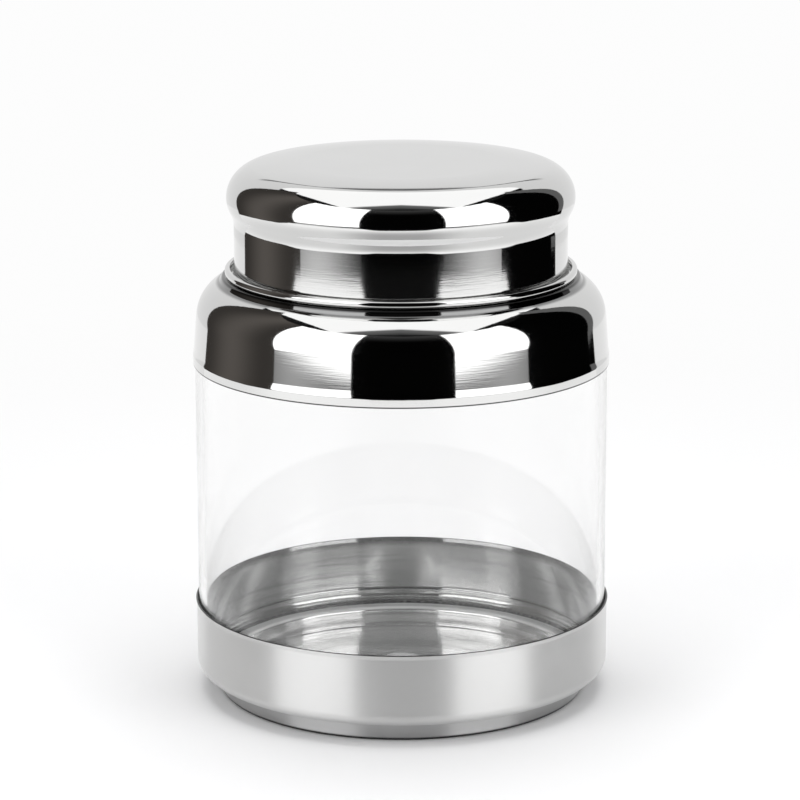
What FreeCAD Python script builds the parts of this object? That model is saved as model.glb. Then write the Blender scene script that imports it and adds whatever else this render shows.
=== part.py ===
import FreeCAD, Part
import math
import os
import Sketcher

# A clear-walled storage canister of about one litre: a clear tube held between a pressed steel base cup
# and a pressed steel shoulder, with a pressed steel lid that slips over the neck. Millimetres and degrees.
# The origin is the middle of the foot, on the table. +Z points up along the axis that every piece turns on.
SIZES = {
    # the sheet that all three pressings are made of
    "gauge": 0.5,
    # clear tube
    "tube_radius": 57.0,
    "tube_wall": 2.0,
    "tube_length": 84.7,
    "tube_edge": 0.4,
    "tube_clearance": 0.05,
    # base cup: rim, corner, shelf, foot, floor and the dimple in its middle
    "base_height": 25.9,
    "rim_flare": 0.3,
    "rim_bend": 1.5,
    "rim_angle": 15.0,
    "corner_radius": 3.6,
    "shelf_height": 5.5,
    "foot_inset": 6.35,
    "foot_root": 0.8,
    "foot_edge": 1.0,
    "foot_flat": 2.2,
    "floor_lift": 0.8,
    "floor_bend": 1.0,
    "floor_angle": 30.0,
    "dimple_rise": 5.4,
    "dimple_flat": 5.0,
    "dimple_bend": 3.0,
    "dimple_angle": 42.0,
    # seals at the two ends of the tube
    "seal_lap": 0.4,
    "lower_seal_rise": 1.1,
    "upper_seal_thickness": 0.8,
    # shoulder: lip over the tube, flare above it, tapered wall, dome, raised ledge, neck and its rolled rim
    "lip_insert": 1.3,
    "lip_spare": 0.3,
    "lip_bend": 1.5,
    "flare_angle": 14.0,
    "flare_radius": 10.0,
    "wall_taper": 4.4,
    "dome_radius": 11.4,
    "dome_angle": 28.0,
    "shoulder_height": 24.3,
    "cone_run": 0.45,
    "step_root": 0.6,
    "step_run": 1.0,
    "step_angle": 62.0,
    "ledge_edge": 0.8,
    "neck_inset": 12.8,
    "neck_root": 0.8,
    "neck_height": 11.7,
    "rim_curl": 0.25,
    "rim_lap": 0.4,
    # lid: crowned top, rounded edge, bulge, hollow, skirt and rolled hem
    "seat_gap": 0.05,
    "skirt_clearance": 0.15,
    "lid_height": 31.05,
    "lid_flat": 28.0,
    "crown_radius": 90.0,
    "edge_radius": 8.8,
    "lid_overhang": 1.95,
    "bulge_radius": 8.0,
    "hollow_radius": 6.5,
    "hem_width": 2.65,
    "hem_height": 2.2,
    "hem_fold": 0.45,
    "hem_curl": 0.4,
    "hem_angle": 100.0,
    "hem_lap": 0.4,
}

doc = FreeCAD.newDocument("canister")


def fill_sheet():
    """Writes every driving size into the sheet, one row each, with its name as the alias."""
    sheet = doc.addObject("Spreadsheet::Sheet", "sizes")
    for row, (name, number) in enumerate(SIZES.items(), start=1):
        sheet.set(f"A{row}", name)
        sheet.set(f"B{row}", str(number))
        sheet.setAlias(f"B{row}", name)
    doc.recompute()


class Size:
    """A number together with the sheet formula that it comes from."""

    def __init__(self, number, formula):
        self.number = number
        self.formula = formula

    def __add__(self, other):
        return Size(self.number + other.number, f"({self.formula} + {other.formula})")

    def __sub__(self, other):
        return Size(self.number - other.number, f"({self.formula} - {other.formula})")


def size(name):
    return Size(SIZES[name], f"sizes.{name}")


def new_body(name):
    body = doc.addObject("PartDesign::Body", name)
    body.Label = name
    return body


def upright_sketch(body, name):
    """A sketch on the body's own XZ plane, so that x is a radius and y a height."""
    sketch = body.newObject("Sketcher::SketchObject", name)
    plane = [item for item in body.Origin.OriginFeatures if item.Role == "XZ_Plane"][0]
    sketch.AttachmentSupport = [(plane, "")]
    sketch.MapMode = "FlatFace"
    return sketch


def bind(sketch, kind, places, limit):
    """Adds a driving constraint and ties it to the sheet."""
    number = math.radians(limit.number) if kind == "Angle" else limit.number
    index = sketch.addConstraint(Sketcher.Constraint(kind, *places, number))
    sketch.setExpression(f"Constraints[{index}]", limit.formula)


def turn_full(body, sketch):
    """Turns a section right round the upright axis."""
    ring = body.newObject("PartDesign::Revolution", f"{body.Name}_turned")
    ring.Profile = sketch
    ring.ReferenceAxis = (sketch, ["V_Axis"])
    ring.Angle = 360.0
    sketch.Visibility = False
    return ring


# a sketch numbers the points of a line or arc from 1 up, and its own origin and axes from -1 down
START, END, CENTRE = range(1, 4)
ORIGIN, UPRIGHT_AXIS = range(-1, -3, -1)


class Pressing:
    """The section of a pressed sheet.

    Tangent lines and arcs are drawn one after the other along the sheet's outer side, by length and turn.
    Each has a twin one gauge to its right, parallel or about the same centre. A short line closes each end.
    """

    def __init__(self, body, name, start, heading):
        self.sketch = upright_sketch(body, name)
        self.gauge = size("gauge")
        self.pen = FreeCAD.Vector(start[0], start[1], 0)
        self.heading = heading
        self.runs = []
        self.twins = []

    def aim(self, degrees):
        angle = math.radians(degrees)
        return FreeCAD.Vector(math.cos(angle), math.sin(angle), 0)

    def right(self):
        return self.aim(self.heading - 90) * self.gauge.number

    def join(self, chain, run):
        """Sets a line or arc tangent to the end of the one before it."""
        if chain:
            index, _, last = chain[-1]
            self.sketch.addConstraint(Sketcher.Constraint("Tangent", index, last, run[0], run[1]))
        chain.append(run)

    def line(self, length):
        far = self.pen + self.aim(self.heading) * length
        pair = []
        for chain, shift in ((self.runs, FreeCAD.Vector()), (self.twins, self.right())):
            index = self.sketch.addGeometry(Part.LineSegment(self.pen + shift, far + shift))
            self.join(chain, (index, START, END))
            pair.append(index)
        self.sketch.addConstraint(Sketcher.Constraint("Parallel", *pair))
        self.pen = far
        return pair[0]

    def arc(self, radius, turn):
        """Turns left by a positive angle and right by a negative one."""
        side = math.copysign(1, turn)
        centre = self.pen + self.aim(self.heading + 90 * side) * radius.number
        first = self.heading - 90 * side
        span = sorted((math.radians(first), math.radians(first + turn)))
        ends = (START, END) if turn > 0 else (END, START)
        pair = []
        for chain, grow in ((self.runs, 0), (self.twins, side * self.gauge.number)):
            circle = Part.Circle(centre, FreeCAD.Vector(0, 0, 1), radius.number + grow)
            index = self.sketch.addGeometry(Part.ArcOfCircle(circle, *span))
            self.join(chain, (index, *ends))
            pair.append(index)
        self.sketch.addConstraint(Sketcher.Constraint("Coincident", pair[0], CENTRE, pair[1], CENTRE))
        bind(self.sketch, "Radius", (pair[0],), radius)
        self.pen = centre + self.aim(first + turn) * radius.number
        self.heading += turn
        return pair[0]

    def close(self):
        """Closes both ends square across the sheet, one gauge wide."""
        ends = ((self.runs[0], self.twins[0], 1), (self.runs[-1], self.twins[-1], 2))
        for (run, *run_ends), (twin, *twin_ends), which in ends:
            run_end = run_ends[which - 1]
            twin_end = twin_ends[which - 1]
            cap = self.sketch.addGeometry(
                Part.LineSegment(self.sketch.getPoint(run, run_end), self.sketch.getPoint(twin, twin_end)))
            self.sketch.addConstraint(Sketcher.Constraint("Coincident", cap, START, run, run_end))
            self.sketch.addConstraint(Sketcher.Constraint("Coincident", cap, END, twin, twin_end))
            self.sketch.addConstraint(Sketcher.Constraint("Perpendicular", cap, run))
            if which == 1:
                bind(self.sketch, "Distance", (cap,), self.gauge)

    def level(self, *lines):
        for line in lines:
            self.sketch.addConstraint(Sketcher.Constraint("Horizontal", line))

    def plumb(self, *lines):
        for line in lines:
            self.sketch.addConstraint(Sketcher.Constraint("Vertical", line))

    def on_axis(self, line, end):
        self.sketch.addConstraint(Sketcher.Constraint("PointOnObject", line, end, UPRIGHT_AXIS))

    def radius_at(self, line, end, where):
        bind(self.sketch, "DistanceX", (ORIGIN, START, line, end), where)

    def height_at(self, line, end, where):
        bind(self.sketch, "DistanceY", (ORIGIN, START, line, end), where)

    def length(self, line, limit):
        bind(self.sketch, "Distance", (line,), limit)

    def sweep(self, arc, limit):
        """Sets the angle that an arc turns through."""
        bind(self.sketch, "Angle", (arc,), limit)

    def slant(self, first, second, limit):
        """Sets the angle between two lines, each taken from its start to its end."""
        bind(self.sketch, "Angle", (first, START, second, START), limit)


def polygon(body, name, corners):
    """A closed outline of straight sides, with a radius and a height bound at every corner."""
    sketch = upright_sketch(body, name)
    points = [FreeCAD.Vector(r.number, z.number, 0) for r, z in corners]
    count = len(points)
    for k in range(count):
        sketch.addGeometry(Part.LineSegment(points[k], points[(k + 1) % count]))
    for k, (r, z) in enumerate(corners):
        sketch.addConstraint(Sketcher.Constraint("Coincident", k, END, (k + 1) % count, START))
        bind(sketch, "DistanceX", (ORIGIN, START, k, START), r)
        bind(sketch, "DistanceY", (ORIGIN, START, k, START), z)
    return sketch


def base_cup():
    """Cup round the tube's lower end, drawn from its rim to the foot and in to the middle of the floor."""
    turn = {name: math.radians(SIZES[name]) for name in ("rim_angle", "floor_angle", "dimple_angle")}
    rim_bend_reach = SIZES["rim_bend"] * (1 - math.cos(turn["rim_angle"]))
    rim_run = (SIZES["rim_flare"] - rim_bend_reach) / math.sin(turn["rim_angle"])
    rim_drop = rim_run * math.cos(turn["rim_angle"]) + SIZES["rim_bend"] * math.sin(turn["rim_angle"])
    floor_bends = (SIZES["foot_edge"] + SIZES["floor_bend"]) * (1 - math.cos(turn["floor_angle"]))
    floor_run = (SIZES["floor_lift"] - floor_bends) / math.sin(turn["floor_angle"])
    dimple_bends = 2 * SIZES["dimple_bend"] * (1 - math.cos(turn["dimple_angle"]))
    dimple_run = (SIZES["dimple_rise"] - dimple_bends) / math.sin(turn["dimple_angle"])
    dimple_reach = dimple_run * math.cos(turn["dimple_angle"])
    dimple_reach += 2 * SIZES["dimple_bend"] * math.sin(turn["dimple_angle"]) + SIZES["dimple_flat"]

    body = new_body("base_cup")
    flare_radius = band_radius + size("rim_flare")
    start = (flare_radius.number, SIZES["base_height"])
    section = Pressing(body, "base_section", start, -90 - SIZES["rim_angle"])
    rim = section.line(rim_run)
    section.arc(size("rim_bend"), SIZES["rim_angle"])
    band = section.line(SIZES["base_height"] - rim_drop - SIZES["shelf_height"] - SIZES["corner_radius"])
    section.arc(size("corner_radius"), -90)
    shelf = section.line(SIZES["foot_inset"] - SIZES["corner_radius"] - SIZES["foot_root"])
    section.arc(size("foot_root"), 90)
    foot_wall = section.line(SIZES["shelf_height"] - SIZES["foot_root"] - SIZES["foot_edge"])
    section.arc(size("foot_edge"), -90)
    foot = section.line(SIZES["foot_flat"])
    section.arc(size("foot_edge"), -SIZES["floor_angle"])
    rise = section.line(floor_run)
    section.arc(size("floor_bend"), SIZES["floor_angle"])
    floor = section.line(section.pen.x - dimple_reach)
    section.arc(size("dimple_bend"), -SIZES["dimple_angle"])
    climb = section.line(dimple_run)
    section.arc(size("dimple_bend"), SIZES["dimple_angle"])
    middle = section.line(SIZES["dimple_flat"])
    section.close()

    section.plumb(band, foot_wall)
    section.level(shelf, foot, floor, middle)
    section.radius_at(rim, START, flare_radius)
    section.height_at(rim, START, size("base_height"))
    section.radius_at(band, START, band_radius)
    section.slant(rim, band, size("rim_angle"))
    section.height_at(shelf, START, size("shelf_height"))
    section.radius_at(foot_wall, START, band_radius - size("foot_inset"))
    section.height_at(foot, START, Size(0.0, "0"))
    section.length(foot, size("foot_flat"))
    section.slant(rise, foot, size("floor_angle"))
    section.height_at(floor, START, size("floor_lift"))
    section.slant(climb, floor, size("dimple_angle"))
    section.height_at(middle, START, size("floor_lift") + size("dimple_rise"))
    section.length(middle, size("dimple_flat"))
    section.on_axis(middle, END)
    turn_full(body, section.sketch)
    return body


def lower_seal():
    """Moulded ring that fills the cup's inside corner and carries the tube."""
    body = new_body("lower_seal")
    sketch = upright_sketch(body, "lower_seal_section")
    outer = tube_radius + size("tube_clearance")
    inner = tube_radius - size("tube_wall") - size("seal_lap")
    centre_radius = band_radius - size("corner_radius")
    centre_height = size("shelf_height") + size("corner_radius")
    bend = size("corner_radius") - size("gauge")
    low = math.acos((inner.number - centre_radius.number) / bend.number)
    centre = FreeCAD.Vector(centre_radius.number, centre_height.number, 0)
    circle = Part.Circle(centre, FreeCAD.Vector(0, 0, 1), bend.number)
    corners = [
        FreeCAD.Vector(inner.number, centre_height.number - bend.number * math.sin(low), 0),
        FreeCAD.Vector(inner.number, tube_foot.number, 0),
        FreeCAD.Vector(outer.number, tube_foot.number, 0),
        FreeCAD.Vector(outer.number, centre_height.number, 0),
    ]
    for near, far in zip(corners, corners[1:]):
        sketch.addGeometry(Part.LineSegment(near, far))
    inside, top, outside = 0, 1, 2
    round_side = sketch.addGeometry(Part.ArcOfCircle(circle, -low, 0))
    sketch.addConstraint([
        Sketcher.Constraint("Coincident", inside, END, top, START),
        Sketcher.Constraint("Coincident", top, END, outside, START),
        Sketcher.Constraint("Tangent", outside, END, round_side, END),
        Sketcher.Constraint("Coincident", round_side, START, inside, START),
        Sketcher.Constraint("Vertical", inside),
        Sketcher.Constraint("Horizontal", top),
        Sketcher.Constraint("Vertical", outside),
    ])
    bind(sketch, "DistanceX", (ORIGIN, START, top, START), inner)
    bind(sketch, "DistanceX", (ORIGIN, START, top, END), outer)
    bind(sketch, "DistanceY", (ORIGIN, START, top, START), tube_foot)
    bind(sketch, "DistanceY", (ORIGIN, START, round_side, CENTRE), centre_height)
    bind(sketch, "Radius", (round_side,), bend)
    turn_full(body, sketch)
    return body


def glass_tube():
    """Clear wall of the canister, with all four edges eased."""
    body = new_body("glass_tube")
    inner = tube_radius - size("tube_wall")
    corners = [(inner, tube_foot), (tube_radius, tube_foot), (tube_radius, tube_top), (inner, tube_top)]
    ring = turn_full(body, polygon(body, "tube_section", corners))
    doc.recompute()
    eased = body.newObject("PartDesign::Fillet", "tube_edges")
    edges = enumerate(ring.Shape.Edges, start=1)
    eased.Base = (ring, [f"Edge{k}" for k, edge in edges if isinstance(edge.Curve, Part.Circle)])
    eased.setExpression("Radius", size("tube_edge").formula)
    body.Tip = eased
    return body


def upper_seal():
    """Flat ring between the tube's upper end and the inside of the lip."""
    body = new_body("upper_seal")
    inner = tube_radius - size("tube_wall") - size("seal_lap")
    outer = tube_radius + size("tube_clearance")
    top = tube_top + size("upper_seal_thickness")
    corners = [(inner, tube_top), (outer, tube_top), (outer, top), (inner, top)]
    turn_full(body, polygon(body, "upper_seal_section", corners))
    return body


def shoulder_collar():
    """Shoulder and neck, drawn from the rolled rim of the neck down to the lip that holds the tube."""
    rim_top = ledge_height + size("neck_height") - size("gauge") - size("rim_curl")
    lap_radius = neck_radius + size("rim_curl") + size("rim_curl")
    step = SIZES["step_angle"]
    slope = SIZES["dome_angle"]
    steep = 90 - SIZES["wall_taper"]
    flared = 90 - SIZES["flare_angle"]
    lip_height = size("lip_insert") + size("upper_seal_thickness") + size("lip_spare")

    def bend_reach(radius, first, last):
        """How far an arc goes out and down between two slopes. A hollow arc has a radius below zero."""
        first = math.radians(first)
        last = math.radians(last)
        return radius * (math.sin(last) - math.sin(first)), radius * (math.cos(first) - math.cos(last))

    bends = [
        bend_reach(SIZES["ledge_edge"], 0, step),
        bend_reach(-SIZES["step_root"], step, slope),
        bend_reach(SIZES["dome_radius"], slope, steep),
        bend_reach(-SIZES["flare_radius"], steep, flared),
        bend_reach(SIZES["lip_bend"], flared, 90),
    ]
    out = sum(reach for reach, _ in bends)
    down = sum(drop for _, drop in bends)
    for run, angle in (("step_run", step), ("cone_run", slope)):
        out += SIZES[run] * math.cos(math.radians(angle))
        down += SIZES[run] * math.sin(math.radians(angle))
    wall_drop = SIZES["shoulder_height"] - lip_height.number - down
    wall_out = wall_drop * math.tan(math.radians(SIZES["wall_taper"]))
    ledge_end = band_radius.number - out - wall_out

    body = new_body("shoulder_collar")
    start = (lap_radius.number, rim_top.number - SIZES["rim_lap"])
    section = Pressing(body, "shoulder_section", start, 90)
    lap = section.line(SIZES["rim_lap"])
    section.arc(size("rim_curl"), 180)
    neck = section.line(rim_top.number - ledge_height.number - SIZES["neck_root"])
    section.arc(size("neck_root"), 90)
    ledge = section.line(ledge_end - section.pen.x)
    section.arc(size("ledge_edge"), -step)
    riser = section.line(SIZES["step_run"])
    section.arc(size("step_root"), step - slope)
    cone = section.line(SIZES["cone_run"])
    section.arc(size("dome_radius"), slope - steep)
    wall = section.line(math.hypot(wall_drop, wall_out))
    section.arc(size("flare_radius"), steep - flared)
    lip_bend = section.arc(size("lip_bend"), flared - 90)
    lip = section.line(lip_height.number)
    section.close()

    section.plumb(lap, neck, lip)
    section.level(ledge)
    section.length(lap, size("rim_lap"))
    section.radius_at(neck, START, neck_radius)
    section.height_at(neck, START, rim_top)
    section.height_at(ledge, START, ledge_height)
    section.slant(riser, ledge, size("step_angle"))
    section.length(riser, size("step_run"))
    section.slant(cone, ledge, size("dome_angle"))
    section.length(cone, size("cone_run"))
    section.slant(lip, wall, size("wall_taper"))
    section.sweep(lip_bend, size("flare_angle"))
    section.length(lip, lip_height)
    section.radius_at(lip, END, band_radius)
    section.height_at(lip, END, lip_foot)
    turn_full(body, section.sketch)
    return body


def lid():
    """Slip-over lid, drawn from the middle of its top out over the edge and down to the rolled hem."""
    top = ledge_height + size("seat_gap") + size("lid_height")
    hem_inside = ledge_height + size("seat_gap") + size("gauge")
    hem_wall = skirt_radius + size("hem_width") - size("gauge")
    hem_shoulder = ledge_height + size("seat_gap") + size("hem_height") - size("gauge") - size("hem_curl")
    widest = skirt_radius + size("lid_overhang")
    crown = SIZES["crown_radius"]
    edge = SIZES["edge_radius"]
    fall = math.degrees(math.asin((widest.number - edge - SIZES["lid_flat"]) / (crown - edge)))
    waist = SIZES["bulge_radius"] + SIZES["hollow_radius"]
    tuck = math.degrees(math.acos(1 - SIZES["lid_overhang"] / waist))

    body = new_body("lid")
    section = Pressing(body, "lid_section", (0, top.number), 0)
    middle = section.line(SIZES["lid_flat"])
    section.arc(size("crown_radius"), -fall)
    section.arc(size("edge_radius"), fall - 90)
    bulge = section.arc(size("bulge_radius"), -tuck)
    section.arc(size("hollow_radius"), tuck)
    skirt = section.line(section.pen.y - hem_inside.number - SIZES["hem_fold"])
    section.arc(size("hem_fold"), 90)
    hem_foot = section.line(hem_wall.number - skirt_radius.number - 2 * SIZES["hem_fold"])
    section.arc(size("hem_fold"), 90)
    hem_side = section.line(hem_shoulder.number - section.pen.y)
    section.arc(size("hem_curl"), SIZES["hem_angle"])
    hem_lap = section.line(SIZES["hem_lap"])
    section.close()

    section.on_axis(middle, START)
    section.level(middle, hem_foot)
    section.plumb(skirt, hem_side)
    section.length(middle, size("lid_flat"))
    section.height_at(middle, START, top)
    section.radius_at(bulge, END, widest)
    section.sketch.addConstraint(Sketcher.Constraint("Horizontal", bulge, CENTRE, bulge, END))
    section.radius_at(skirt, START, skirt_radius)
    section.height_at(hem_foot, START, hem_inside)
    section.radius_at(hem_side, START, hem_wall)
    section.height_at(hem_side, END, hem_shoulder)
    section.slant(hem_side, hem_lap, size("hem_angle"))
    section.length(hem_lap, size("hem_lap"))
    turn_full(body, section.sketch)
    return body


def check(bodies):
    """Stops before anything is written if an object failed or a piece isn't one sound solid."""
    for item in doc.Objects:
        if {"Invalid", "Error"} & set(item.State):
            raise RuntimeError(f"{item.Name} failed: {item.State}")
    for body in bodies:
        shape = body.Shape
        if shape.isNull() or not shape.isValid() or len(shape.Solids) != 1:
            raise RuntimeError(f"{body.Label} is not one valid solid")
        box = shape.optimalBoundingBox(True, False)
        print(f"{body.Label}: {shape.Volume:.1f} mm3, r {box.XMax:.2f}, z {box.ZMin:.2f} to {box.ZMax:.2f}")


fill_sheet()

# radii and heights that more than one piece shares
tube_radius = size("tube_radius")
band_radius = tube_radius + size("tube_clearance") + size("gauge")
tube_foot = size("shelf_height") + size("corner_radius") + size("lower_seal_rise")
tube_top = tube_foot + size("tube_length")
lip_foot = tube_top - size("lip_insert")
ledge_height = lip_foot + size("shoulder_height")
neck_radius = tube_radius - size("neck_inset")
rim_radius = neck_radius + size("rim_curl") + size("rim_curl") + size("gauge")
skirt_radius = rim_radius + size("skirt_clearance") + size("gauge")

bodies = [base_cup(), lower_seal(), glass_tube(), upper_seal(), shoulder_collar(), lid()]
doc.recompute()
check(bodies)
os.makedirs("parts", exist_ok=True)
for body in bodies:
    body.Shape.exportStep(f"parts/{body.Label}.step")
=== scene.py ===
import math
import bmesh
import bpy
from mathutils import Matrix, Vector


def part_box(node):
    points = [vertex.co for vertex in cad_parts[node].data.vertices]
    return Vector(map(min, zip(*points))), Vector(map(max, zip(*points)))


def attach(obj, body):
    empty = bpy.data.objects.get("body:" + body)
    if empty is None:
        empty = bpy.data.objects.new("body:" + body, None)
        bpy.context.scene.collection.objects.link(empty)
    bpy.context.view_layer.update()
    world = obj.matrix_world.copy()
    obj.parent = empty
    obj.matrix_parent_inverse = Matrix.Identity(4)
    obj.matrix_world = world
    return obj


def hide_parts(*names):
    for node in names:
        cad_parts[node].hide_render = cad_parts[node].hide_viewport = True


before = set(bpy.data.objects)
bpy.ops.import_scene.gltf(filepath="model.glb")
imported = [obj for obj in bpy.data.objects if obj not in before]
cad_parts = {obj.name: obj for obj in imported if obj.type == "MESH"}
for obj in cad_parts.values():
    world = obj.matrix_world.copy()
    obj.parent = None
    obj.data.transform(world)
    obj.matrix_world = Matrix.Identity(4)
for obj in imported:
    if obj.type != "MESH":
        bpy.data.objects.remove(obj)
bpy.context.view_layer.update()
scene = bpy.context.scene
scene.view_settings.view_transform = "Standard"

# Outlines are drawn in millimetres, as radius and height, with angles in degrees. Meshes are in metres.
MM = 0.001
SIDES = 192
ARC_STEP = 3.0

# The sheet's gauge, the rounding of its cut edges, and how near to a bend a straight run has a point
GAUGE = 0.5
EASE = 0.12
HOLD = 0.15


def sine(degrees):
    return math.sin(math.radians(degrees))


def cosine(degrees):
    return math.cos(math.radians(degrees))


def aim(degrees):
    return Vector((cosine(degrees), sine(degrees)))


class Outline:
    """One side of a turned section: straight runs and tangent arcs, drawn one after the other."""

    def __init__(self, radius, height, heading):
        self.spots = [(Vector((radius, height)), heading)]

    def line(self, length):
        """A straight run. A point close to each end keeps the shading of the arcs out of it."""
        start, heading = self.spots[-1]
        hold = min(HOLD, length / 3)
        for along in (hold, length - hold, length):
            self.spots.append((start + aim(heading) * along, heading))

    def to_radius(self, radius):
        start, heading = self.spots[-1]
        self.line((radius - start.x) / aim(heading).x)

    def to_height(self, height):
        start, heading = self.spots[-1]
        self.line((height - start.y) / aim(heading).y)

    def arc(self, radius, turn):
        """Turns left by a positive angle and right by a negative one."""
        start, heading = self.spots[-1]
        side = math.copysign(1, turn)
        centre = start + aim(heading + 90 * side) * radius
        steps = max(3, math.ceil(abs(turn) / ARC_STEP))
        for k in range(1, steps + 1):
            part = turn * k / steps
            self.spots.append((centre + aim(heading + part - 90 * side) * radius, heading + part))

    def drawn_side(self):
        return [spot for spot, _ in self.spots]

    def twin_side(self):
        """The other side of the sheet, one gauge to the right."""
        return [spot + aim(heading - 90) * GAUGE for spot, heading in self.spots]

    def cut_end(self, which):
        """The eased edge of the sheet at the outline's start or end, from the drawn side to its twin."""
        spot, heading = self.spots[which]
        ahead = aim(heading) if which else -aim(heading)
        across = aim(heading - 90)
        quarter = (0, 30, 60, 90)
        corners = []
        for middle, first in ((EASE, 180), (GAUGE - EASE, 90)):
            for swing in quarter:
                round_off = aim(first - swing) * EASE
                corners.append(spot + across * (middle + round_off.x) + ahead * (round_off.y - EASE))
        return corners


START, END = 0, -1


def turned(name, section, closed=False, inside_from=None):
    """Turns a section, which starts and ends on the axis or is closed, into one smooth closed mesh.

    From the point inside_from on, the faces take the second material.
    """
    shape = bmesh.new()
    rings = []
    for radius, height in section:
        if radius < EASE / 2:
            rings.append([shape.verts.new((0, 0, height * MM))])
            continue
        ring = [aim(360 * k / SIDES) * radius * MM for k in range(SIDES)]
        rings.append([shape.verts.new((*spot, height * MM)) for spot in ring])
    following = rings[1:] + rings[:1] if closed else rings[1:]
    for step, (near, far) in enumerate(zip(rings, following)):
        for k in range(SIDES):
            round_face = ((near, k), (near, k + 1), (far, k + 1), (far, k))
            corners = [ring[place % len(ring)] for ring, place in round_face]
            face = shape.faces.new(dict.fromkeys(corners))
            face.smooth = True
            face.material_index = int(inside_from is not None and step >= inside_from)
    bmesh.ops.recalc_face_normals(shape, faces=shape.faces)
    mesh = bpy.data.meshes.new(name)
    shape.to_mesh(mesh)
    shape.free()
    piece = bpy.data.objects.new(name, mesh)
    scene.collection.objects.link(piece)
    return piece


def extent(node):
    """Largest radius, lowest and highest point of a CAD node, in millimetres."""
    low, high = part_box(node)
    return high.x / MM, low.z / MM, high.z / MM


lid_radius, lid_foot, lid_top = extent("lid")
band_radius, lip_foot, neck_top = extent("shoulder_collar")
cup_radius, cup_foot, cup_top = extent("base_cup")
tube_radius, tube_foot, tube_top = extent("glass_tube")
SEAT_GAP = 0.05
SHELF_HEIGHT = 5.5


def lid_section():
    """Crowned top, rounded edge, bulge, hollow, skirt and outward rolled hem."""
    flat = 28.0
    crown = 90.0
    edge = 8.8
    bulge = 8.0
    hollow = 6.5
    overhang = 1.95
    hem_width = 2.65
    hem_height = 2.2
    hem_fold = 0.45
    hem_curl = 0.4
    hem_angle = 100.0
    hem_lap = 0.4
    widest = lid_radius - hem_width + overhang
    fall = math.degrees(math.asin((widest - edge - flat) / (crown - edge)))
    tuck = math.degrees(math.acos(1 - overhang / (bulge + hollow)))
    outline = Outline(0, lid_top, 0)
    outline.line(flat)
    outline.arc(crown, -fall)
    outline.arc(edge, fall - 90)
    outline.arc(bulge, -tuck)
    outline.arc(hollow, tuck)
    outline.to_height(lid_foot + GAUGE + hem_fold)
    outline.arc(hem_fold, 90)
    outline.to_radius(lid_radius - GAUGE - hem_fold)
    outline.arc(hem_fold, 90)
    outline.to_height(lid_foot + hem_height - GAUGE - hem_curl)
    outline.arc(hem_curl, hem_angle)
    outline.line(hem_lap)
    return outline.drawn_side()[:-1] + outline.cut_end(END) + outline.twin_side()[-2::-1]


def shoulder_section():
    """Rolled rim, neck, raised ledge, dome, tapered wall, flare and the lip over the tube."""
    neck_inset = 12.8
    rim_curl = 0.25
    rim_lap = 0.4
    neck_root = 0.8
    ledge_end = 48.715
    ledge_edge = 0.8
    step_angle = 62.0
    step_run = 1.0
    step_root = 0.6
    dome = 11.4
    dome_angle = 28.0
    cone_run = 0.45
    wall_taper = 4.4
    flare = 10.0
    flare_angle = 14.0
    lip_bend = 1.5
    lip_height = 2.4
    flare_foot = lip_foot + lip_height + lip_bend * sine(flare_angle)
    outline = Outline(tube_radius - neck_inset + 2 * rim_curl, neck_top - GAUGE - rim_curl - rim_lap, 90)
    outline.line(rim_lap)
    outline.arc(rim_curl, 180)
    outline.to_height(lid_foot - SEAT_GAP + neck_root)
    outline.arc(neck_root, 90)
    outline.to_radius(ledge_end)
    outline.arc(ledge_edge, -step_angle)
    outline.line(step_run)
    outline.arc(step_root, step_angle - dome_angle)
    outline.line(cone_run)
    outline.arc(dome, dome_angle + wall_taper - 90)
    outline.to_height(flare_foot + flare * (sine(flare_angle) - sine(wall_taper)))
    outline.arc(flare, flare_angle - wall_taper)
    outline.arc(lip_bend, -flare_angle)
    outline.to_height(lip_foot)
    ends = outline.cut_end(END), outline.cut_end(START)
    return outline.drawn_side()[1:-1] + ends[0] + outline.twin_side()[-2:0:-1] + ends[1][::-1]


def cup_section():
    """Flared rim, band, rounded corner, shelf, foot, floor and the dimple in its middle."""
    rim_bend = 1.5
    rim_angle = 15.0
    corner = 3.6
    foot_inset = 6.35
    foot_root = 0.8
    foot_edge = 1.0
    foot_flat = 2.2
    floor_lift = 0.8
    floor_bend = 1.0
    floor_angle = 30.0
    dimple_radius = 13.3
    dimple_rise = 5.4
    dimple_bend = 3.0
    dimple_angle = 42.0
    outline = Outline(cup_radius, cup_top - GAUGE * sine(rim_angle), -90 - rim_angle)
    outline.to_radius(band_radius + rim_bend * (1 - cosine(rim_angle)))
    outline.arc(rim_bend, rim_angle)
    outline.to_height(SHELF_HEIGHT + corner)
    outline.arc(corner, -90)
    outline.to_radius(band_radius - foot_inset + foot_root)
    outline.arc(foot_root, 90)
    outline.to_height(cup_foot + foot_edge)
    outline.arc(foot_edge, -90)
    outline.line(foot_flat)
    outline.arc(foot_edge, -floor_angle)
    outline.to_height(floor_lift - floor_bend * (1 - cosine(floor_angle)))
    outline.arc(floor_bend, floor_angle)
    outline.to_radius(dimple_radius)
    outline.arc(dimple_bend, -dimple_angle)
    outline.to_height(floor_lift + dimple_rise - dimple_bend * (1 - cosine(dimple_angle)))
    outline.arc(dimple_bend, dimple_angle)
    outline.to_radius(0)
    outside = outline.drawn_side()[:0:-1] + outline.cut_end(START)
    return outside + outline.twin_side()[1:], len(outside)


def tube_section():
    """Plain wall with four eased edges."""
    wall = 2.0
    edge = 0.4
    outline = Outline(tube_radius, tube_foot + edge, 90)
    for length in (tube_top - tube_foot, wall, tube_top - tube_foot, wall):
        outline.line(length - 2 * edge)
        outline.arc(edge, 90)
    return outline.drawn_side()[:-1]


# Materials

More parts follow.
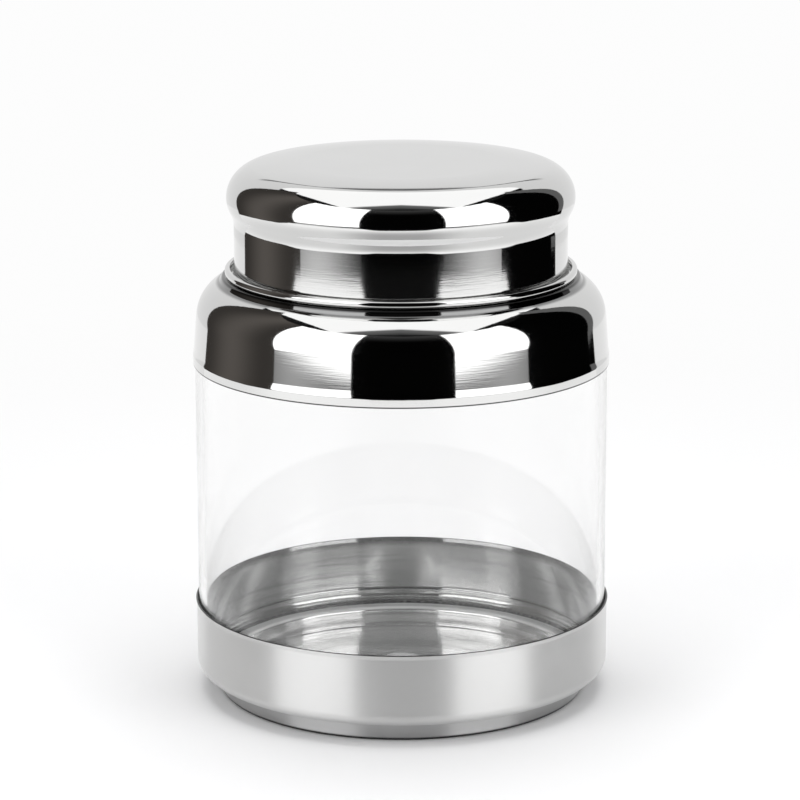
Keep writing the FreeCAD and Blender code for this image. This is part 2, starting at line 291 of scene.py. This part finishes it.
class Nodes:
    """A node tree whose nodes are added and joined by short calls."""

    def __init__(self, tree):
        self.tree = tree

    def put(self, socket, value):
        """Sets a socket to a number, or joins it to another node's output."""
        if isinstance(value, bpy.types.NodeSocket):
            self.tree.links.new(value, socket)
        else:
            socket.default_value = value

    def node(self, kind, inputs, output=0, **settings):
        """Adds a node with its settings and inputs, and gives one of its outputs."""
        made = self.tree.nodes.new(kind)
        for name, value in settings.items():
            setattr(made, name, value)
        for key, value in inputs.items():
            self.put(made.inputs[key], value)
        return made.outputs[output]

    def math(self, operation, first, second=0.0):
        return self.node("ShaderNodeMath", {0: first, 1: second}, operation=operation)

    def off(self, value, middle):
        """How far a value is from a middle one, to either side."""
        return self.math("ABSOLUTE", self.math("SUBTRACT", value, middle))

    def vector_math(self, operation, first, second=(0, 0, 0), output=0):
        return self.node("ShaderNodeVectorMath", {0: first, 1: second}, output, operation=operation)

    def between(self, value, low, high):
        """Turns 0 to 1 into the range from low to high."""
        return self.node("ShaderNodeMapRange", {"Value": value, "To Min": low, "To Max": high})

    def ramp(self, value, first, last, low, high):
        """Eases from low to high as a value goes from first to last."""
        inputs = {"Value": value, "From Min": first, "From Max": last, "To Min": low, "To Max": high}
        return self.node("ShaderNodeMapRange", inputs, interpolation_type="SMOOTHSTEP")

    def mix(self, factor, first, second):
        """Mixes two colours, by the numbers of the sockets that the node has for colours."""
        first_colour = 6
        second_colour = 7
        mixed_colour = 2
        inputs = {"Factor": factor, first_colour: first, second_colour: second}
        return self.node("ShaderNodeMix", inputs, mixed_colour, data_type="RGBA")

    def noise(self, vector, scale, detail):
        return self.node("ShaderNodeTexNoise", {"Vector": vector, "Scale": scale, "Detail": detail})

    def place(self):
        return self.node("ShaderNodeTexCoord", {}, "Object")

    def along(self, axis):
        return self.node("ShaderNodeSeparateXYZ", {0: self.place()}, axis)

    def height(self):
        return self.along("Z")

    def flat_place(self):
        """The place without its height."""
        return self.vector_math("MULTIPLY", self.place(), (1, 1, 0))

    def off_axis(self):
        return self.vector_math("LENGTH", self.flat_place(), output="Value")

    def turned_noise(self, round_scale, across_scale, detail):
        """Noise that changes slowly round the axis and fast across it, for marks left by a lathe."""
        outward = self.vector_math("NORMALIZE", self.flat_place())
        around = self.vector_math("MULTIPLY", outward, [round_scale] * 3)
        across = self.math("MULTIPLY", self.math("SUBTRACT", self.off_axis(), self.height()), across_scale)
        lift = self.node("ShaderNodeCombineXYZ", {"Z": across})
        return self.noise(self.vector_math("ADD", around, lift), 1.0, detail)

    def bump(self, height, distance, under=None):
        inputs = {"Height": height, "Distance": distance, "Strength": 1.0}
        if under is not None:
            inputs["Normal"] = under
        return self.node("ShaderNodeBump", inputs)


class Finish(Nodes):
    """A material made of such nodes."""

    def __init__(self, name):
        self.material = bpy.data.materials.new(name)
        self.material.use_nodes = True
        super().__init__(self.material.node_tree)
        self.shader = self.tree.nodes["Principled BSDF"]

    def set(self, **inputs):
        """Sets sockets of the main shader, by their names with underscores for spaces."""
        for name, value in inputs.items():
            self.put(self.shader.inputs[name.replace("_", " ")], value)

    def show(self, shader):
        """Puts another shader on the surface in the main one's place."""
        self.put(self.tree.nodes["Material Output"].inputs["Surface"], shader)
        return self.material


def grey(level):
    return (level, level, level, 1.0)


def steel(name, colour, smooth, rough, mark_depth, streak_depth):
    """Stainless steel with fine marks round the axis and streaks that come in patches."""
    cloud_share = 0.4
    cloud_shade = 0.94
    finish = Finish(name)
    marks = finish.turned_noise(5.0, 2600.0, 4.0)
    streaks = finish.turned_noise(7.0, 850.0, 2.0)
    clouds = finish.noise(finish.place(), 55.0, 3.0)
    patches = finish.ramp(finish.turned_noise(1.5, 60.0, 2.0), 0.35, 0.65, 0.15, 1.0)
    fine = finish.math("MULTIPLY", marks, 1 - cloud_share)
    mixed = finish.math("ADD", fine, finish.math("MULTIPLY", clouds, cloud_share))
    waves = finish.bump(finish.math("MULTIPLY", streaks, patches), streak_depth)
    darker = [part * cloud_shade for part in colour] + [1.0]
    tint = finish.mix(clouds, (*colour, 1.0), darker)
    finish.set(Metallic=1.0, Roughness=finish.between(mixed, smooth, rough), Base_Color=tint)
    finish.set(Normal=finish.bump(marks, mark_depth, waves))
    return finish, tint


def darkened(finish, tint, first, last, level):
    """Eases a colour into a dark grey as the height goes from first to last, in millimetres."""
    share = finish.ramp(finish.height(), first * MM, last * MM, 0.0, 1.0)
    return finish.mix(share, tint, grey(level))


def mirror_steel(name):
    return steel(name, (0.69, 0.69, 0.685), 0.03, 0.07, 2e-6, 3e-6)


def lid_steel():
    """Mirror finish, with painted shade on the lowest part of the hem, where it sits over the ledge."""
    finish, tint = mirror_steel("lid_steel")
    # Painted shade: the hem turns near black towards its foot.
    finish.set(Base_Color=darkened(finish, tint, lid_foot + 0.32, lid_foot + 0.08, 0.04))
    return finish.material


def shoulder_steel():
    """Mirror finish, with painted shade: dark grey in the crease round the lid's seat, near black on its
    edge under the hem, and dark at the lip's cut edge.
    """
    crease_middle = lid_radius + 1.2
    edge_middle = lid_radius + 0.4
    finish, tint = mirror_steel("shoulder_steel")
    radius = finish.math("DIVIDE", finish.off_axis(), MM)
    crease = finish.ramp(finish.off(radius, crease_middle), 1.6, 0.6, 0.0, 1.0)
    edge = finish.ramp(finish.off(radius, edge_middle), 0.75, 0.4, 0.0, 1.0)
    # Painted shade: the crease is mixed into a dark grey, and the seat's edge under the hem into near
    # black.
    tint = finish.mix(crease, tint, grey(0.22))
    tint = finish.mix(edge, tint, grey(0.02))
    # Painted shade where the lip meets the tube: its cut edge darkens towards its foot.
    finish.set(Base_Color=darkened(finish, tint, lip_foot + 0.48, lip_foot + 0.26, 0.06))
    return finish.material


def brushed(finish):
    """Brushing round the axis, which spreads the reflections up and down."""
    finish.set(Anisotropic=0.96, Anisotropic_Rotation=0.25)
    finish.set(Tangent=finish.node("ShaderNodeTangent", {}, direction_type="RADIAL", axis="Z"))
    return finish.material


def satin_steel():
    """Outside of the base: brushed, with a dark cut rim, painted shade over the corner and foot, and a
    painted contact shadow on the edge it stands on.
    """
    finish, tint = steel("satin_steel", (0.76, 0.76, 0.755), 0.32, 0.44, 1.2e-5, 5e-6)
    tint = darkened(finish, tint, cup_top - 0.22, cup_top - 0.12, 0.08)
    # Painted shade: the corner and foot turn a darker grey below the band.
    tint = darkened(finish, tint, cup_foot + 8.0, cup_foot + 5.4, 0.56)
    # Painted contact shadow: the edge the base stands on turns near black.
    tint = darkened(finish, tint, cup_foot + 1.1, cup_foot + 0.5, 0.05)
    finish.set(Base_Color=tint)
    return brushed(finish)


def spun_steel():
    """Inside of the base: hazy, brushed and streaky, matt on the shelf, with painted shade under the rim.
    """
    shelf = (SHELF_HEIGHT + GAUGE) * MM
    finish, tint = steel("spun_steel", (0.92, 0.92, 0.915), 0.11, 0.21, 5e-6, 1e-6)
    finish.set(Metallic=finish.ramp(finish.off(finish.height(), shelf), 0.2 * MM, 0.9 * MM, 0.3, 0.87))
    streaks = finish.ramp(finish.turned_noise(0.8, 700.0, 3.0), 0.50, 0.72, 0.0, 0.50)
    tint = finish.mix(streaks, tint, grey(0.45))
    # Painted shade: the inside turns grey towards the rim.
    finish.set(Base_Color=darkened(finish, tint, cup_top - 3.2, cup_top - 0.8, 0.45))
    return brushed(finish)


def clear_wall():
    """Clear wall with a faint waviness. Lamps shine through it."""
    finish = Finish("clear_wall")
    smears = finish.turned_noise(1.2, 22.0, 2.0)
    finish.set(Base_Color=(0.985, 0.985, 0.985, 1.0), IOR=1.49, Transmission_Weight=1.0)
    finish.set(Roughness=finish.between(smears, 0.0, 0.03), Normal=finish.bump(smears, 6e-5))
    lamps = finish.node("ShaderNodeLightPath", {}, "Is Shadow Ray")
    through = finish.node("ShaderNodeBsdfTransparent", {"Color": (0.96, 0.97, 0.97, 1.0)})
    mixed = finish.node("ShaderNodeMixShader", {0: lamps, 1: finish.shader.outputs[0], 2: through})
    return finish.show(mixed)


def clear_seal():
    """Clear silicone with a soft skin."""
    finish = Finish("clear_seal")
    grain = finish.noise(finish.place(), 900.0, 3.0)
    finish.set(Base_Color=(0.97, 0.975, 0.97, 1.0), IOR=1.41, Transmission_Weight=1.0)
    finish.set(Roughness=finish.between(grain, 0.02, 0.10), Normal=finish.bump(grain, 4e-6))
    return finish.material


# Pieces

def dress(piece, node, body, slot, *materials):
    """Puts a turned piece in the place of its CAD node."""
    for material in materials:
        piece.data.materials.append(material)
    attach(piece, body)
    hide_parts(node)


cup_points, cup_inside = cup_section()
lid_piece = turned("lid_shell", lid_section())
shoulder_piece = turned("shoulder_shell", shoulder_section(), closed=True)
cup_piece = turned("cup_shell", cup_points, inside_from=cup_inside)
tube_piece = turned("tube_wall", tube_section(), closed=True)
dress(lid_piece, "lid", "lid", "polished_steel", lid_steel())
dress(shoulder_piece, "shoulder_collar", "canister", "polished_steel", shoulder_steel())
dress(cup_piece, "base_cup", "canister", "satin_steel", satin_steel(), spun_steel())
dress(tube_piece, "glass_tube", "canister", "clear_wall", clear_wall())
silicone = clear_seal()
for name in ("lower_seal", "upper_seal"):
    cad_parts[name].data.materials[0] = silicone


# Studio: floor, panels that only the reflections show, lamps and camera

def link_stage(name, mesh, material):
    thing = bpy.data.objects.new(name, mesh)
    mesh.materials.append(material)
    scene.collection.objects.link(thing)
    return thing


def quad_mesh(name, corners):
    mesh = bpy.data.meshes.new(name)
    mesh.from_pydata(corners, [], [range(k, k + 4) for k in range(0, len(corners), 4)])
    return mesh


def mirrored_panel(name, corners, material):
    """A panel for mirrors and glass, out of the picture itself and out of the lamps' way."""
    thing = link_stage(name, quad_mesh(name, corners), material)
    thing.visible_camera = False
    thing.visible_diffuse = False
    thing.visible_shadow = False


class Glow(Finish):
    """A panel's light, as a level that changes over the panel."""

    def off_front(self):
        """Degrees round the object from the camera's side, to the left or the right."""
        backward = self.math("MULTIPLY", self.along("Y"), -1.0)
        azimuth = self.math("ARCTAN2", self.along("X"), backward)
        return self.math("DEGREES", self.math("ABSOLUTE", azimuth))

    def bell(self, middle, reach, low, high):
        """High at one azimuth to either side of the front, and low from a reach away from it on."""
        return self.ramp(self.off(self.off_front(), middle), 0.0, reach, high, low)

    def spill(self, high):
        """The light that spills from the softboxes, highest under their middles."""
        middle = 57.0
        reach = 36.0
        return self.bell(middle, reach, 0.006, high)

    def shine(self, level, colour=(1, 1, 1)):
        return self.show(self.node("ShaderNodeEmission", {"Color": (*colour, 1.0), "Strength": level}))


SPILL = 0.70


def spill_glow():
    """What lies under the softboxes."""
    light = Glow("spill")
    return light.shine(light.spill(SPILL))


def softbox_glow():
    """A bright diffuser that fades into the spill at its foot."""
    light = Glow("softbox")
    spill = light.spill(light.ramp(light.height(), 0.0, 0.03, SPILL, 0.44))
    return light.shine(light.ramp(light.height(), 0.040, 0.054, spill, 2.0))


def table_glow():
    """The table: brighter between the softboxes than in front of the object, and brightest some way off."""
    light = Glow("lit_table")
    near = light.ramp(light.off_front(), 10.0, 50.0, 0.52, 0.95)
    far = light.ramp(light.off_front(), 60.0, 95.0, 1.32, 1.14)
    return light.shine(light.ramp(light.off_axis(), 0.20, 0.50, near, far))


def room_glow():
    """The dim room at the left."""
    light = Glow("left_room")
    return light.shine(light.bell(103.0, 26.0, 0.05, 0.12), (1.0, 0.90, 0.82))


def overhead_glow():
    """The panel overhead, soft at its front edge, which comes forward at both sides."""
    light = Glow("overhead")
    sideways = light.math("MULTIPLY", light.math("ABSOLUTE", light.along("X")), 0.35)
    place = light.math("ADD", light.along("Y"), sideways)
    dim = light.ramp(place, -0.70, -0.34, 0.04, 0.18)
    return light.shine(light.ramp(place, -0.37, -0.27, dim, 1.4))


def gap_glow():
    """The dark between the softboxes, which takes a little light at its top."""
    light = Glow("gap")
    return light.shine(light.ramp(light.height(), 0.55, 1.0, 0.001, 0.06))


def backdrop_glow():
    """The backdrop, with a dark rail across its middle."""
    level = 0.88
    rail_height = 0.475
    light = Glow("backdrop")
    rail = light.ramp(light.off(light.height(), rail_height), 0.012, 0.028, 0.15, level)
    return light.shine(light.ramp(light.off_front(), 155.0, 165.0, level, rail))


def round_place(azimuth, radius):
    """A place on the floor, by its azimuth from the camera side, growing to the camera's right."""
    return Vector((sine(azimuth), -cosine(azimuth))) * radius


PANEL_RING = 0.66


def curved_panel(name, first, last, high, material):
    """An upright panel, part of a cylinder round the object, from the table up.

    Each side edge has an azimuth at its foot and one at its top.
    """
    columns = 40

    def side(share, which):
        return round_place(first[which] + (last[which] - first[which]) * share, PANEL_RING)

    corners = []
    for k in range(columns):
        near, far = k / columns, (k + 1) / columns
        corners += [(*side(near, 0), 0), (*side(far, 0), 0), (*side(far, 1), high), (*side(near, 1), high)]
    mirrored_panel(name, corners, material)


def table_patch(name, first, last, inner, outer, material):
    """A part of the table, just over the floor, between two edges that are given by azimuth."""
    lift = 0.0005
    corners = []
    for azimuth in range(first, last):
        after = azimuth + 1
        for turn, edge in ((azimuth, inner), (azimuth, outer), (after, outer), (after, inner)):
            corners.append((*round_place(turn, edge(turn)), lift))
    mirrored_panel(name, corners, material)


def table_start(azimuth):
    """Where the lit table starts, the same all round."""
    return 0.14


def table_edge(azimuth):
    """How far the lit table reaches: farthest under the softboxes."""
    middle = 50
    reach = 22
    fall = 14
    nearest = 0.46
    gain = 0.17
    beyond = min(max(abs(abs(azimuth) - middle) - reach, 0) / fall, 1)
    return nearest + gain * (1 - beyond * beyond * (3 - 2 * beyond))


def table_end(azimuth):
    """Where the ground beyond the lit table ends, at the panels' feet."""
    return PANEL_RING


def studio_panels():
    """What the steel mirrors all round: the table, two softboxes, the dark beside them and a backdrop."""
    panel_top = 0.95
    backdrop_top = 0.74
    left_gap = (-26, -25)
    right_gap = (28, 28)
    left_end = (-70, -80)
    right_end = (70, 80)
    left_back = (-132, -136)
    right_strip = (122, 122)
    right_back = (129, 133)
    backdrop_end = (228, 224)
    black = Glow("black").shine(0.001)
    strip = Glow("strip").shine(0.14)
    spill = spill_glow()
    softbox = softbox_glow()
    room = room_glow()
    zones = (("left_room", left_back, left_end, room, room),
             ("left_softbox", left_end, left_gap, softbox, spill),
             ("front_gap", left_gap, right_gap, gap_glow(), spill),
             ("right_softbox", right_gap, right_end, softbox, spill),
             ("right_room", right_end, right_strip, black, black),
             ("right_strip", right_strip, right_back, strip, black))
    for name, first, last, wall, ground in zones:
        curved_panel(name, first, last, panel_top, wall)
        table_patch(name + "_ground", first[0], last[0], table_edge, table_end, ground)
    curved_panel("backdrop", right_back, backdrop_end, backdrop_top, backdrop_glow())
    table_patch("table", left_back[0], right_back[0], table_start, table_edge, table_glow())


def overhead_panel():
    height = 1.10
    side = 0.62
    front = -0.68
    back = 1.80
    corners = [(-side, front, height), (side, front, height), (side, back, height), (-side, back, height)]
    mirrored_panel("overhead_panel", corners, overhead_glow())


def square(reach):
    return [(-reach, -reach), (reach, -reach), (reach, reach), (-reach, reach)]


def dark_room():
    """Four walls and a ceiling behind all the panels."""
    reach = 2.4
    plan = square(reach)
    corners = [(*spot, reach) for spot in plan]
    for near, far in zip(plan, plan[1:] + plan[:1]):
        corners += [(*near, 0), (*far, 0), (*far, reach), (*near, reach)]
    mirrored_panel("dark_room", corners, Glow("dark_room").shine(0.01))


def seen_directly(nodes):
    """1 on rays from the camera, off a mirror or through glass, and 0 on the rest."""
    path = nodes.tree.nodes.new("ShaderNodeLightPath").outputs
    mirrored = nodes.math("MAXIMUM", path["Is Glossy Ray"], path["Is Transmission Ray"])
    return nodes.math("MAXIMUM", path["Is Camera Ray"], mirrored)


def floor():
    """Pale floor that takes the object's shadow and turns into the white background away from it."""
    reach = 6.0
    finish = Finish("floor")
    finish.set(Base_Color=(0.90, 0.90, 0.905, 1.0), Roughness=0.6, Specular_IOR_Level=0.0)
    distance = finish.vector_math("LENGTH", finish.place(), output="Value")
    away = finish.ramp(distance, 0.06, 0.50, 0.0, 1.0)
    white = finish.node("ShaderNodeEmission", {"Strength": 0.98})
    share = finish.math("MULTIPLY", away, seen_directly(finish))
    finish.show(finish.node("ShaderNodeMixShader", {0: share, 1: finish.shader.outputs[0], 2: white}))
    corners = [(*spot, 0) for spot in square(reach)]
    link_stage("floor", quad_mesh("floor", corners), finish.material)


def sky():
    """White background, with a plainer level of light on everything it shines on."""
    shone = 0.42
    seen = 1.0
    world = bpy.data.worlds.new("studio_sky")
    world.use_nodes = True
    scene.world = world
    nodes = Nodes(world.node_tree)
    background = world.node_tree.nodes["Background"].inputs
    nodes.put(background["Color"], (1, 1, 1, 1))
    nodes.put(background["Strength"], nodes.between(seen_directly(nodes), shone, seen))


def lamp(name, place, width, height, power):
    """A soft lamp that faces the object and stays out of its reflections, where the panels show instead."""
    target = Vector((0, 0, 0.05))
    light = bpy.data.lights.new(name, "AREA")
    light.shape = "RECTANGLE"
    light.size = width
    light.size_y = height
    light.energy = power
    thing = bpy.data.objects.new(name, light)
    thing.location = place
    thing.rotation_euler = (target - Vector(place)).to_track_quat("-Z", "Y").to_euler()
    thing.visible_glossy = False
    thing.visible_transmission = False
    scene.collection.objects.link(thing)


def camera():
    """The photograph's view, fitted to its rings."""
    place = Vector((0, -0.92644, 0.31144))
    tilt = 0.243
    roll = -0.0025
    focal_pixels = 3435.7
    axis_shift_pixels = 1.3
    frame_pixels = 800
    lens = bpy.data.cameras.new("camera")
    lens.sensor_width = 36.0
    lens.lens = focal_pixels * lens.sensor_width / frame_pixels
    lens.shift_x = -axis_shift_pixels / frame_pixels
    thing = bpy.data.objects.new("camera", lens)
    turn = Matrix.Rotation(math.pi / 2 - tilt, 4, "X") @ Matrix.Rotation(roll, 4, "Z")
    thing.matrix_world = Matrix.Translation(place) @ turn
    scene.collection.objects.link(thing)
    scene.camera = thing


studio_panels()
overhead_panel()
dark_room()
floor()
sky()
lamp("overhead_lamp", (0, 0.18, 1.1), 0.9, 0.9, 7.9)
lamp("left_lamp", (-0.62, -0.5, 0.55), 0.6, 0.8, 2.7)
lamp("right_lamp", (0.62, -0.5, 0.55), 0.6, 0.8, 2.7)
camera()
